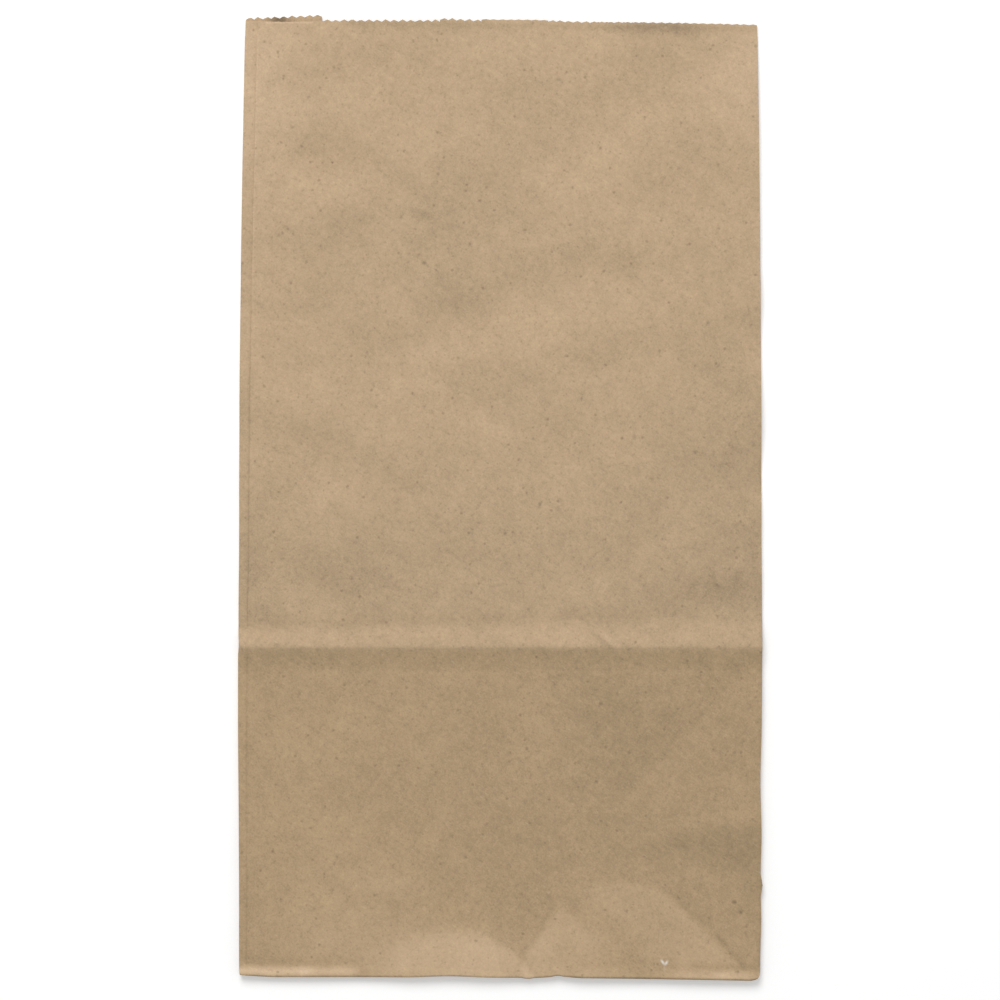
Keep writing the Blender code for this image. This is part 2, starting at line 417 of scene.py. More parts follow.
@dataclass
class MouthTeeth:
    """The toothed strip along the mouth, one piece of it for each panel.

    Each tooth is a small net of points, and tip_index says which of them is its tip.
    """

    points_each: ClassVar[int] = 6
    tip_index: ClassVar[int] = 3
    tip_shift: ClassVar[float] = 0.12
    side_reach: ClassVar[float] = 0.49
    step_gap: ClassVar[float] = 0.049

    finish: bpy.types.Material
    depth: float = 0.75 * MM
    pitch: float = 2.5 * MM
    strip: float = 5.6 * MM
    variation: float = 0.3
    seed: int = 7
    tree: bpy.types.NodeTree = field(init=False)

    def __post_init__(self) -> None:
        """Build the nodes that make the teeth of every panel."""
        self.tree = self.build_tree()

    def build_tree(self) -> bpy.types.NodeTree:
        """Build the Geometry Nodes tree: one tooth, repeated along a line.

        Returns:
            The tree, with named inputs for its sizes.
        """
        tree = bpy.data.node_groups.new("mouth_teeth", "GeometryNodeTree")
        tree.interface.new_socket("Geometry", in_out="OUTPUT", socket_type="NodeSocketGeometry")
        sockets = {
            "Start": "NodeSocketVector",
            "Pitch": "NodeSocketFloat",
            "Count": "NodeSocketInt",
            "Depth": "NodeSocketFloat",
            "Strip": "NodeSocketFloat",
            "Variation": "NodeSocketFloat",
            "Seed": "NodeSocketInt",
            "Material": "NodeSocketMaterial",
        }
        for name, kind in sockets.items():
            tree.interface.new_socket(name, in_out="INPUT", socket_type=kind)
        board = NodeBoard(tree)
        given = board.node("NodeGroupInput").socket.node
        size = {name: Signal(board, given.outputs[name]) for name in sockets}

        half_strip = size["Strip"] / 2
        grid_values = {
            "Size X": size["Pitch"],
            "Size Y": size["Strip"],
            "Vertices X": self.points_each // 2,
            "Vertices Y": 2,
        }
        plate = board.node("GeometryNodeMeshGrid", None, grid_values, "Mesh")
        lift = board.node("ShaderNodeCombineXYZ", None, {"Y": half_strip})
        plate = board.node("GeometryNodeTransform", None, {"Geometry": plate, "Translation": lift})

        line_values = {
            "Count": size["Count"],
            "Start Location": size["Start"],
            "Offset": board.node("ShaderNodeCombineXYZ", None, {"X": size["Pitch"]}),
        }
        line = board.node("GeometryNodeMeshLine", None, line_values)
        placed = board.node("GeometryNodeInstanceOnPoints", None, {"Points": line, "Instance": plate})
        strip = board.node("GeometryNodeRealizeInstances", None, {"Geometry": placed})

        index = board.node("GeometryNodeInputIndex")
        place = index.math("MODULO", self.points_each)
        equal = {"data_type": "FLOAT", "operation": "EQUAL"}
        is_tip = board.node("FunctionNodeCompare", equal, {0: place, 1: float(self.tip_index)})
        tooth = index.math("DIVIDE", self.points_each).math("FLOOR")
        random_values = {2: 0.0, 3: size["Variation"], "ID": tooth, "Seed": size["Seed"]}
        shorter = board.node("FunctionNodeRandomValue", {"data_type": "FLOAT"}, random_values, 1)
        reach = size["Depth"] * (1 - shorter)
        sideways_values = {2: -self.tip_shift, 3: self.tip_shift, "ID": tooth, "Seed": size["Seed"] + 1}
        sideways = board.node("FunctionNodeRandomValue", {"data_type": "FLOAT"}, sideways_values, 1)
        offset = board.node("ShaderNodeCombineXYZ", None, {"X": sideways * size["Pitch"], "Y": reach})
        moved = {"Geometry": strip, "Selection": is_tip, "Offset": offset}
        toothed = board.node("GeometryNodeSetPosition", None, moved)
        dressing = {"Geometry": toothed, "Material": size["Material"]}
        dressed = board.node("GeometryNodeSetMaterial", None, dressing)
        board.node("NodeGroupOutput", None, {"Geometry": dressed})
        return tree

    def along(
        self,
        x_low: float,
        x_high: float,
        base: Pair,
        edge: Callable[[float], float],
        sharpness: Callable[[float], float],
        steps: Sequence[float],
    ) -> Surface:
        """Make the teeth of one panel.

        Args:
            x_low: Where the panel starts.
            x_high: Where it ends.
            base: The line and the height of the panel's last row.
            edge: Gives the line of the tips at an x.
            sharpness: Gives how deep the teeth are at an x, as a share of the full depth.
            steps: Where the line of the tips jumps.

        Returns:
            The strip's points and faces, with the tips on that line.
        """
        count = self.count(x_low, x_high)
        pitch = (x_high - x_low) / count
        y, z = base
        wanted = {
            "Start": (x_low + pitch / 2, y, z),
            "Pitch": pitch,
            "Count": count,
            "Depth": self.depth,
            "Strip": self.strip,
            "Variation": self.variation,
            "Seed": self.seed + count,
            "Material": self.finish,
        }
        holder = new_object("teeth", bpy.data.meshes.new("teeth"))
        modifier = holder.modifiers.new("teeth", "NODES")
        modifier.node_group = self.tree
        for item in self.tree.interface.items_tree:
            if item.in_out == "INPUT":
                modifier[item.identifier] = wanted[item.name]
        graph = bpy.context.evaluated_depsgraph_get()
        mesh = bpy.data.meshes.new_from_object(holder.evaluated_get(graph))
        holder.modifiers.remove(modifier)
        bpy.data.objects.remove(holder, do_unlink=True)

        reach = self.side_reach * pitch
        gap = self.step_gap * pitch
        valley = y + self.strip
        points = []
        for index, vert in enumerate(mesh.vertices):
            x, point_y, _ = vert.co
            if point_y > y + self.strip / 2:
                middle = x_low + pitch * (index // self.points_each + 0.5)
                sharp = sharpness(middle)
                beside = between(x, middle - reach, middle + reach)
                for step in steps:
                    beside = min(beside, step) if middle < step else max(beside, step + gap)
                point_y = edge(beside) + (point_y - valley - self.depth) * sharp
            points.append((x, point_y, z))
        faces = [tuple(face.vertices) for face in mesh.polygons]
        bpy.data.meshes.remove(mesh)
        return Surface(points, faces)

    def count(self, x_low: float, x_high: float) -> int:
        """Return how many teeth a panel has."""
        return max(1, round((x_high - x_low) / self.pitch))


@dataclass
class FoldedSheet:
    """The bag's one sheet of paper, folded flat and pasted.

    The single rows and the row bands say where all panels have lines across the bag, in millimetres.
    A band is a start, an end and a number of steps.
    """

    single_rows: ClassVar[tuple[float, ...]] = (0.0, 0.3, 0.8, 1.5, 2.4, 3.6, 96.9)
    row_bands: ClassVar[tuple[tuple[float, float, int], ...]] = (
        (5.0, 88.4, 26),
        (88.4, 96.3, 9),
        (97.5, 107.1, 12),
    )
    wall_steps: ClassVar[int] = 50
    row_clearance: ClassVar[float] = 0.25 * MM
    nose_steps: ClassVar[int] = 12
    flap_columns: ClassVar[int] = 12
    worn_sharpness: ClassVar[float] = 0.3
    right_sharpness: ClassVar[float] = 0.7
    right_dulling: ClassVar[float] = 0.35
    sharp_angle: ClassVar[float] = math.radians(50)

    teeth: MouthTeeth
    width: float = 152.4 * MM
    length: float = 281.2 * MM
    gusset: float = 96.3 * MM
    flap: float = 58.0 * MM
    paper: float = 0.1 * MM
    air: float = 0.05 * MM
    fold_room: float = 0.3 * MM
    fold_bulge: float = 0.06 * MM
    seam_low: float = 2.1 * MM
    seam_high: float = 3.6 * MM
    seam_lap: float = 15.0 * MM
    rear_tab_end: float = -52.8 * MM
    rear_tab_rise: float = 0.25 * MM
    rear_tab_slope: float = 0.95 * MM
    rear_tab_drop: float = 1.8 * MM
    rear_fall: float = 2.1 * MM
    front_step: float = -17.78 * MM
    front_lip_drop: float = 1.7 * MM
    front_lip_sag: float = 0.4 * MM
    front_left_drop: float = 1.4 * MM
    front_drop: float = 0.8 * MM
    front_fall: float = 2.0 * MM
    front_fall_power: float = 0.8
    ridge: float = 1.3 * MM
    ridge_foot: float = 7.5 * MM
    ridge_power: float = 1.5
    slope_left: float = 6.6 * MM
    slope_right: float = 9.8 * MM
    flare: float = 0.5 * MM
    flare_foot: float = 5.0 * MM
    nose: float = 0.5 * MM
    nose_run: float = 3.0 * MM
    taper_left: float = 1.8 * MM
    taper_right: float = 1.2 * MM
    taper_start: float = 150.0 * MM
    taper_power: float = 1.6
    slant: float = 1.15 * MM
    slant_power: float = 3.0
    slant_run: float = 60.0 * MM
    corner_left: float = 0.2 * MM
    corner_right: float = 0.75 * MM
    corner_run: float = 3.2 * MM
    worn_teeth: Pair = (-5.0 * MM, 15.0 * MM)
    folded_stiffness: float = 0.35
    wave_room: float = 2.3 * MM
    calm_reach: float = 16.0 * MM
    mouth_gap: float = 0.7 * MM
    gap_middle: float = -64.5 * MM
    gap_half_width: float = 10.0 * MM
    gap_length: float = 14.0 * MM
    weld: float = 0.01 * MM
    flat: Surface = field(default_factory=Surface)
    ripples: tuple[Ripple, ...] = ()
    mounds: tuple[Mound, ...] = ()
    creases: tuple[Crease, ...] = ()
    nicks: tuple[Nick, ...] = ()

    @property
    def half(self) -> float:
        """Half the width."""
        return self.width / 2

    @property
    def mid_gusset(self) -> float:
        """The depth of the folded gusset."""
        return self.gusset / 2

    @property
    def turn(self) -> float:
        """Where the gusset turns back under itself, from the bottom fold."""
        return self.mid_gusset - self.fold_room

    @property
    def last_row(self) -> float:
        """Where the panels end and the toothed strip starts."""
        return self.length - self.teeth.depth - self.teeth.strip

    def height(self, layer: Layer) -> float:
        """Return the height of a panel's middle in the flat stack."""
        return layer * (self.paper + self.air) + self.paper / 2

    def rows(self, low: float, high: float) -> list[float]:
        """Return the lines across the bag that all panels share.

        Args:
            low: The first line.
            high: The last line.

        Returns:
            The lines between the two, with both.
        """
        bands = (*self.row_bands, (self.row_bands[-1][1], self.last_row / MM, self.wall_steps))
        lines = set(self.single_rows)
        for start, end, steps in bands:
            lines |= {start + (end - start) / steps * k for k in range(steps)}
        named = {low, high}
        named |= {self.fold_room, self.turn, self.mid_gusset, self.gusset, self.gusset - self.fold_room}
        named |= {self.flap, self.gusset - self.flap, self.last_row}
        kept = sorted(value for value in named if low <= value <= high)
        for line in lines:
            place = line * MM
            if low < place < high and all(abs(place - value) > self.row_clearance for value in named):
                kept.append(place)
        return sorted(set(kept))

    def seam(self, y: float) -> float:
        """Return where the front wall's pasted edge lies on a line across the bag."""
        return self.seam_low + (self.seam_high - self.seam_low) * y / self.last_row - self.half

    def rear_edge(self, x: float) -> float:
        """Return where the rear wall's tips lie."""
        if x <= self.rear_tab_end:
            away = (self.rear_tab_end - x) / (self.rear_tab_end + self.half)
            return self.length + self.rear_tab_rise - self.rear_tab_slope * away
        return self.length - self.rear_tab_drop - self.rear_fall * smooth(x / self.half)

    def front_edge(self, x: float) -> float:
        """Return where the front wall's tips lie."""
        if x <= self.rear_tab_end:
            sag = 1 - smooth(abs(x - self.gap_middle) / self.gap_half_width)
            return self.length - self.front_lip_drop - self.front_lip_sag * sag
        if x <= self.front_step:
            return self.length - self.front_left_drop
        share = min((x - self.front_step) / (self.half - self.front_step), 1.0)
        return self.length - self.front_drop - self.front_fall * share**self.front_fall_power

    def front_sharpness(self, x: float) -> float:
        """Return how deep the front wall's teeth are, as a share of the full depth."""
        worn_from, worn_to = self.worn_teeth
        if x < self.rear_tab_end or worn_from <= x < worn_to:
            return self.worn_sharpness
        if x < worn_from:
            return 1.0
        toward_right = smooth((x - worn_to) / (self.half - worn_to))
        return self.right_sharpness - self.right_dulling * toward_right

    def panel(self, layer: Layer, rows: Sequence[float], span: Span, shares: Sequence[float]) -> None:
        """Add one panel of the sheet at its own level.

        Args:
            layer: The panel.
            rows: The lines across it.
            span: Gives the panel's two ends on a line.
            shares: Where its columns stand between those ends, from 0 to 1.
        """
        z = self.height(layer)
        net = []
        for y in rows:
            low, high = span(y)
            net.append([(low + (high - low) * share, y, z) for share in shares])
        self.flat.grid(net)

    def toothed_panel(self, layer: Layer, start: float, span: Span) -> None:
        """Add a panel that ends at the mouth, with its teeth.

        Args:
            layer: The panel. Only the front wall has two columns for each tooth.
            start: The panel's first line.
            span: Gives the panel's two ends on a line.
        """
        fine = layer is Layer.FRONT_WALL
        at_rear = layer in (Layer.REAR_WALL, Layer.REAR_GUSSET)
        low, high = span(self.last_row)
        columns = self.teeth.count(low, high) * (2 if fine else 1)
        self.panel(layer, self.rows(start, self.last_row), span, even_shares(columns))
        if not fine:
            self.flat.split_last_row(columns)
        base = (self.last_row, self.height(layer))
        edge = self.rear_edge if at_rear else self.front_edge
        sharpness = (lambda x: 1.0) if at_rear else self.front_sharpness
        steps = (self.rear_tab_end, self.front_step)
        strip = self.teeth.along(low, high, base, edge, sharpness, steps)
        self.flat.add(strip.points, strip.faces)

    def fold(self, low: Layer, high: Layer, line: Sequence[Pair], outward: Pair, steps: int = 4) -> None:
        """Add a fold that joins two panels along a line.

        Args:
            low: The lower panel.
            high: The upper panel.
            line: The plan points that both panels share.
            outward: The plan direction in which the fold bulges.
            steps: How many faces it has round its bend.
        """
        low_z = self.height(low)
        high_z = self.height(high)
        net = []
        for step in range(steps + 1):
            angle = math.pi * step / steps
            z = (low_z + high_z) / 2 - (high_z - low_z) / 2 * math.cos(angle)
            bulge = self.fold_bulge * math.sin(angle)
            net.append([(x + outward[0] * bulge, y + outward[1] * bulge, z) for x, y in line])
        self.flat.grid(net)

    def add_walls(self) -> None:
        """Add the walls, the strip under the long seam and the part of the rear wall that turns under."""
        strip_end = self.seam_lap - self.half
        full = lambda y: (-self.half, self.half)
        self.toothed_panel(Layer.FRONT_WALL, 0.0, lambda y: (self.seam(y), self.half))
        self.toothed_panel(Layer.SEAM_STRIP, 0.0, lambda y: (-self.half, strip_end))
        self.toothed_panel(Layer.REAR_WALL, self.mid_gusset, full)
        shares = even_shares(self.teeth.count(-self.half, self.half))
        self.panel(Layer.TURNED_WALL, self.rows(self.mid_gusset, self.gusset), full, shares)
        for y, low, high, away in (
            (self.mid_gusset, Layer.TURNED_WALL, Layer.REAR_WALL, -1),
            (self.gusset, Layer.INNER_FLAP, Layer.TURNED_WALL, 1),
        ):
            line = [(self.width * share - self.half, y) for share in shares]
            self.fold(low, high, line, (0, away))

    def front_columns(self) -> list[float]:
        """Return where the columns of the front wall meet the bottom fold."""
        seam = self.seam(0.0)
        columns = 2 * self.teeth.count(self.seam(self.last_row), self.half)
        return [seam + (self.half - seam) * k / columns for k in range(columns + 1)]

    def add_bottom_flaps(self) -> None:
        """Add the two flaps that close the bottom, and the bottom fold."""
        columns = self.front_columns()
        seam_columns = [-self.half, columns[0]]
        for wall, places in ((Layer.FRONT_WALL, columns), (Layer.SEAM_STRIP, seam_columns)):
            self.fold(Layer.OUTER_FLAP, wall, [(x, 0.0) for x in places], (0, 0), self.nose_steps)

        outer_shares = [(x + self.half) / self.width for x in seam_columns[:1] + columns]
        outer_span = lambda y: (y - self.half, self.half - y)
        self.panel(Layer.OUTER_FLAP, self.rows(0.0, self.flap), outer_span, outer_shares)
        self._tooth_last_row(len(outer_shares), 1)

        inner_shares = even_shares(self.teeth.count(-self.half, self.half))
        inner_span = lambda y: (self.gusset - y - self.half, self.half - self.gusset + y)
        rows = self.rows(self.gusset - self.flap, self.gusset)
        self.panel(Layer.INNER_FLAP, rows[::-1], inner_span, inner_shares)
        self._tooth_last_row(len(inner_shares), -1)

    def _tooth_last_row(self, count: int, direction: int) -> None:
        """Cut the last row of points into teeth.

        Args:
            count: How many points that row has.
            direction: 1 where the flap reaches toward the mouth, -1 where it reaches away from it.
        """
        points = self.flat.points
        for index in range(len(points) - count + 1, len(points) - 1):
            x, y, z = points[index]
            phase = abs((x / self.teeth.pitch) % 1.0 - 0.5) * 2
            points[index] = (x, y - direction * self.teeth.depth * phase, z)

    def add_gusset(self, side: Side) -> None:
        """Add one folded side wall, with the part of it that turns under with the bottom.

        Args:
            side: The side of the bag.
        """
        edge = side * self.half
        inner = side * (self.half - self.mid_gusset)

        def rising(y: float) -> Pair:
            """Return the ends of the panel that widens from the bottom corner."""
            near = edge + (inner - edge) * min(y / self.turn, 1.0)
            return (near, edge) if side > 0 else (edge, near)

        def falling(y: float) -> Pair:
            """Return the ends of the panel that narrows toward the folded bottom's end."""
            near = inner + (edge - inner) * max(0.0, (y - self.turn) / (self.gusset - self.turn))
            return (near, edge) if side > 0 else (edge, near)

        def diamond(y: float) -> Pair:
            """Return the ends of the panel that does both."""
            return rising(y) if y <= self.turn else falling(y)

        self.toothed_panel(Layer.FRONT_GUSSET, 0.0, rising)
        self.toothed_panel(Layer.REAR_GUSSET, self.turn, rising)
        shares = even_shares(self.teeth.count(*rising(self.gusset)))
        self.panel(Layer.TURNED_GUSSET, self.rows(self.turn, self.gusset), falling, shares)
        self.panel(Layer.BASE_GUSSET, self.rows(0.0, self.gusset), diamond, shares)

        def upright(low: float, high: float, x: float) -> list[Pair]:
            """Return the points of a line along the bag."""
            return [(x, y) for y in self.rows(low, high)]

        out = (float(side), 0.0)
        into = (-float(side), 0.0)
        inner_end = 0 if side > 0 else 1
        front = Layer.FRONT_WALL if side > 0 else Layer.SEAM_STRIP
        mouth = self.last_row
        across = [(inner + (edge - inner) * share, self.turn) for share in shares]
        lower = [(rising(y)[inner_end], y) for y in self.rows(0.0, self.turn)]
        upper = [(falling(y)[inner_end], y) for y in self.rows(self.turn, self.gusset)]
        for low, high, line, outward in (
            (Layer.FRONT_GUSSET, front, upright(0.0, mouth, edge), out),
            (Layer.REAR_GUSSET, Layer.FRONT_GUSSET, upright(self.turn, mouth, inner), into),
            (Layer.REAR_WALL, Layer.REAR_GUSSET, upright(self.mid_gusset, mouth, edge), out),
            (Layer.TURNED_GUSSET, Layer.TURNED_WALL, upright(self.mid_gusset, self.gusset, edge), out),
            (Layer.SIDE_FLAP, Layer.BASE_GUSSET, upright(0.0, self.gusset, edge), out),
            (Layer.TURNED_GUSSET, Layer.REAR_GUSSET, across, (0.0, -1.0)),
            (Layer.TURNED_GUSSET, Layer.REAR_GUSSET, upright(self.turn, self.mid_gusset, edge), out),
            (Layer.BASE_GUSSET, Layer.FRONT_GUSSET, lower, (-side * DIAGONAL, -DIAGONAL)),
            (Layer.BASE_GUSSET, Layer.TURNED_GUSSET, upper, (-side * DIAGONAL, DIAGONAL)),
        ):
            self.fold(low, high, line, outward)

    def add_side_flap(self, side: Side) -> None:
        """Add the end of one side wall, folded in over the bottom, with its two tucked corners.

        Args:
            side: The side of the bag.
        """
        shares = even_shares(self.flap_columns)
        edge = side * self.half
        reach = side * (self.half - self.flap)
        low = self.fold_room
        high = self.gusset - self.fold_room
        ordered = lambda a, b: (a, b) if a < b else (b, a)
        whole = lambda y: ordered(edge, reach)
        self.panel(Layer.SIDE_FLAP, self.rows(low, high), whole, shares)

        def outer(y: float) -> Pair:
            """Return the ends of the lower tucked corner."""
            return ordered(reach, edge + (reach - edge) * (y - low) / (self.flap - low))

        def inner(y: float) -> Pair:
            """Return the ends of the upper tucked corner."""
            return ordered(reach, edge + (reach - edge) * (high - y) / (high - self.gusset + self.flap))

        outer_rows = self.rows(low, self.flap)
        inner_rows = self.rows(self.gusset - self.flap, high)
        self.panel(Layer.OUTER_TUCK, outer_rows, outer, shares)
        self.panel(Layer.INNER_TUCK, inner_rows, inner, shares)
        across = [reach + (edge - reach) * share for share in shares]
        self.fold(Layer.OUTER_TUCK, Layer.SIDE_FLAP, [(x, low) for x in across], (0.0, -1.0))
        self.fold(Layer.INNER_TUCK, Layer.SIDE_FLAP, [(x, high) for x in across], (0.0, 1.0))
        outer_end = 1 if side > 0 else 0
        near_line = [(outer(y)[outer_end], y) for y in outer_rows]
        far_line = [(inner(y)[outer_end], y) for y in inner_rows]
        self.fold(Layer.OUTER_FLAP, Layer.OUTER_TUCK, near_line, (side * DIAGONAL, DIAGONAL))
        self.fold(Layer.INNER_FLAP, Layer.INNER_TUCK, far_line, (side * DIAGONAL, -DIAGONAL))

    def slope(self, x: float) -> float:
        """Return how long the slope down from the ridge is at an x."""
        share = smooth((x + self.half) / self.width)
        return self.slope_left + (self.slope_right - self.slope_left) * share

    def waves(self, x: float, y: float) -> float:
        """Return how far the top of the stack is lifted by the paper's soft waves and dents.

        Args:
            x: Place across the bag.
            y: Place from the bottom fold.

        Returns:
            A height of 0 or more.
        """
        place = (x / MM, y / MM)
        lift = sum(ripple.at(*place) for ripple in self.ripples)
        calm = smooth(abs(y - self.gusset) / self.calm_reach)
        calm *= self.folded_stiffness if y < self.gusset else 1.0
        lift = lift * calm + sum(item.at(*place) for item in (*self.mounds, *self.creases))
        return between(lift * MM, 0.0, self.wave_room)

    def front_lift(self, x: float, y: float) -> float:
        """Return how far the front wall alone gapes at the left end of the mouth."""
        from_mouth = smooth(1 - (self.length - y) / self.gap_length)
        return self.mouth_gap * from_mouth * (1 - smooth(abs(x - self.gap_middle) / self.gap_half_width))

    def settled(self, x: float, y: float, z: float) -> Point:
        """Move a point of the flat stack to where it comes to rest.

        Args:
            x: Place across the bag.
            y: Place from the bottom fold.
            z: Height in the flat stack.

        Returns:
            The settled point, still measured from the bottom fold.
        """
        stack = self.height(Layer.FRONT_WALL) + self.paper / 2
        rear = self.height(Layer.REAR_WALL) - self.paper / 2
        low = self.height(Layer.INNER_FLAP) + self.paper / 2
        full = self.height(Layer.TURNED_WALL) - self.paper / 2
        past = smooth((y - self.gusset) / self.slope(x))
        rise = max(0.0, 1 - (self.gusset - y) / self.ridge_foot) if y < self.gusset else 1 - past
        share = between((z - low) / (full - low), 0.0, 1.0)
        flare = max(0.0, 1 - y / self.flare_foot) ** 2
        floor_of_stack = rear * past
        top_share = between((z - floor_of_stack) / (stack - floor_of_stack), 0.0, 1.0)
        new_z = z - floor_of_stack + self.ridge * rise**self.ridge_power * share
        new_z += self.flare * flare * z / stack + self.waves(x, y) * top_share
        if z > self.height(Layer.REAR_GUSSET) + self.paper / 2:
            new_z += self.front_lift(x, y) * top_share

        middle = stack / 2
        off_middle = min(abs(z - middle) / middle, 1.0)
        back = self.nose * (1 - math.sqrt(1 - off_middle**2)) * max(0.0, 1 - max(y, 0.0) / self.nose_run)
        plan_y = y + back
        toward_mouth = max(0.0, (plan_y - self.taper_start) / (self.length - self.taper_start))
        toward_fold = 1 - smooth(plan_y / self.slant_run)
        side_share = max(0.0, 1 - (self.half - abs(x)) / self.corner_run)
        toward_corner = min(side_share * max(0.0, 1 - plan_y / self.corner_run), 1.0) ** 2
        taper = self.taper_left if x < 0 else self.taper_right
        new_x = x * (1 - taper / self.half * toward_mouth**self.taper_power)
        corner = self.corner_left if x < 0 else self.corner_right
        new_x -= math.copysign(corner * toward_corner, x)
        toward_right = between((x + self.half) / self.width, 0.0, 1.0)
        new_y = plan_y - self.slant * toward_fold * toward_right**self.slant_power
        new_y += corner * toward_corner
        for nick in self.nicks:
            share = nick.share(x / MM, y / MM)
            new_x += nick.shift_x * MM * share
            new_y += nick.shift_y * MM * share
        return new_x, new_y, new_z

    def build(self) -> bpy.types.Object:
        """Build the whole sheet.

        Returns:
            The finished piece.
        """
        self.add_walls()
        self.add_bottom_flaps()
        for side in Side:
            self.add_gusset(side)
            self.add_side_flap(side)
        mesh = self.flat.mesh("folded_sheet", self.weld)
        bpy.data.node_groups.remove(self.teeth.tree)

        place = mesh.attributes.new("sheet", "FLOAT_VECTOR", "POINT")
        place.data.foreach_set("vector", [value / MM for vert in mesh.vertices for value in vert.co])
        _, cad_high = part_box(NODE)
        to_origin = cad_high[1] - self.length
        for vert in mesh.vertices:
            x, y, z = self.settled(*vert.co)
            vert.co = (x, y + to_origin, z)
        mesh.materials.clear()
        mesh.materials.append(self.teeth.finish)

        rough = new_object("sheet_surface", mesh)
        thickness = rough.modifiers.new("paper", "SOLIDIFY")
        thickness.thickness = self.paper
        thickness.offset = 0.0
        graph = bpy.context.evaluated_depsgraph_get()
        solid = bpy.data.meshes.new_from_object(rough.evaluated_get(graph))
        bpy.data.objects.remove(rough, do_unlink=True)
        solid.shade_smooth()
        solid.set_sharp_from_angle(angle=self.sharp_angle)
        solid.name = "folded_sheet"
        piece = new_object("folded_sheet", solid)
        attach(piece, BODY)
        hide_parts(NODE)
        return piece


@dataclass(frozen=True)
class SoftPatch:
    """A soft round patch of a wall that is lighter or darker than the rest."""

    x: float
    y: float
    half_width: float
    half_length: float
    strength: float

    def mask(self, spot: "Spot") -> Signal:
        """Return how much of the patch a place has, from 0 to 1."""
        scale = (1 / self.half_width, 1 / self.half_length, 0.0)
        centre = (-self.x / self.half_width, -self.y / self.half_length, 0.0)
        moved = spot.board.vector("MULTIPLY_ADD", {0: spot.place, 1: scale, 2: centre})
        return 1 - spot.board.vector("LENGTH", {0: moved}, "Value").over(0.0, 1.0)


@dataclass(frozen=True)
class Stroke:
    """A soft straight mark on a wall."""

    start: Pair
    end: Pair
    half_width: float
    strength: float

    def mask(self, spot: "Spot") -> Signal:
        """Return how much of the mark a place has, from 0 to 1."""
        length, along, across = against_line(self.start, self.end, spot.x, spot.y)
        begun = along.over(-self.half_width, self.half_width)
        ended = along.over(length - self.half_width, length + self.half_width)
        return begun * (1 - ended) * (1 - abs(across).over(0.0, self.half_width))


@dataclass(frozen=True)
class Facet:
    """A flat area of a wall between creases, painted lighter or darker as the light and shade that its
    tilt would get.

    Its corners run anticlockwise and bulge outwards. Each is a place and the softness of the side
    that starts there.
    """

    corners: tuple[Point, ...]
    strength: float

    def mask(self, spot: "Spot") -> Signal:
        """Return how much of the facet a place has, from 0 to 1."""
        mask = None
        for start, end in zip(self.corners, (*self.corners[1:], self.corners[0])):
            run_x = end[0] - start[0]
            run_y = end[1] - start[1]
            length = math.hypot(run_x, run_y)
            inward = ((spot.y - start[1]) * run_x - (spot.x - start[0]) * run_y) / length
            side = inward.over(-start[2], start[2])
            mask = side if mask is None else mask * side
        return mask


Mark = SoftPatch | Stroke | Facet


@dataclass
class Spot:
    """The place on the sheet that a material is asked for, in millimetres.

    x and y are the flat sheet's plan position, z is its height in the flat stack, which tells one
    panel from another. pulp is the position along the paper, unrolled round the bottom fold and
    turned, so that no noise lies square to the bag.
    """

    pulp_turn: ClassVar[float] = 0.6

    board: NodeBoard
    place: Signal
    x: Signal
    y: Signal
    z: Signal
    pulp: Signal

    @classmethod
    def read(cls, board: NodeBoard) -> "Spot":
        """Read the place from the piece's own attribute.

        Args:
            board: The material's nodes.

        Returns:
            The place.
        """
        place = board.node("ShaderNodeAttribute", {"attribute_name": "sheet"}, None, "Vector")
        parts = board.node("ShaderNodeSeparateXYZ", None, {0: place}).socket.node
        x, y, z = (Signal(board, parts.outputs[name]) for name in "XYZ")
        unrolled = board.node("ShaderNodeCombineXYZ", None, {"X": x, "Y": y - z})
        turned = {"Vector": unrolled, "Rotation": (0, 0, cls.pulp_turn)}
        pulp = board.node("ShaderNodeMapping", None, turned)
        return cls(board, place, x, y, z, pulp)


@dataclass(frozen=True)
class Flecks:
    """Dark specks in some cells of a random pattern. The radii are shares of a cell."""

    choice_softness: ClassVar[float] = 0.08

    cells_per_mm: float
    empty_share: float
    full_radius: float
    faded_radius: float
    strength: float

    def mask(self, board: NodeBoard, place: Signal) -> Signal:
        """Return how much of the specks a place has.

        Args:
            board: The material's nodes.
            place: The position that the pattern is read at.

        Returns:
            The mask, up to the strength.
        """
        values = {"Vector": place, "Scale": self.cells_per_mm}
        cell = board.node("ShaderNodeTexVoronoi", {"voronoi_dimensions": "2D"}, values, "Distance")
        random = Signal(board, cell.socket.node.outputs["Color"])
        chance = board.node("ShaderNodeSeparateColor", None, {0: random})
        chosen = chance.over(self.empty_share, self.empty_share + self.choice_softness)
        return chosen * (1 - cell.over(self.full_radius, self.faded_radius)) * self.strength


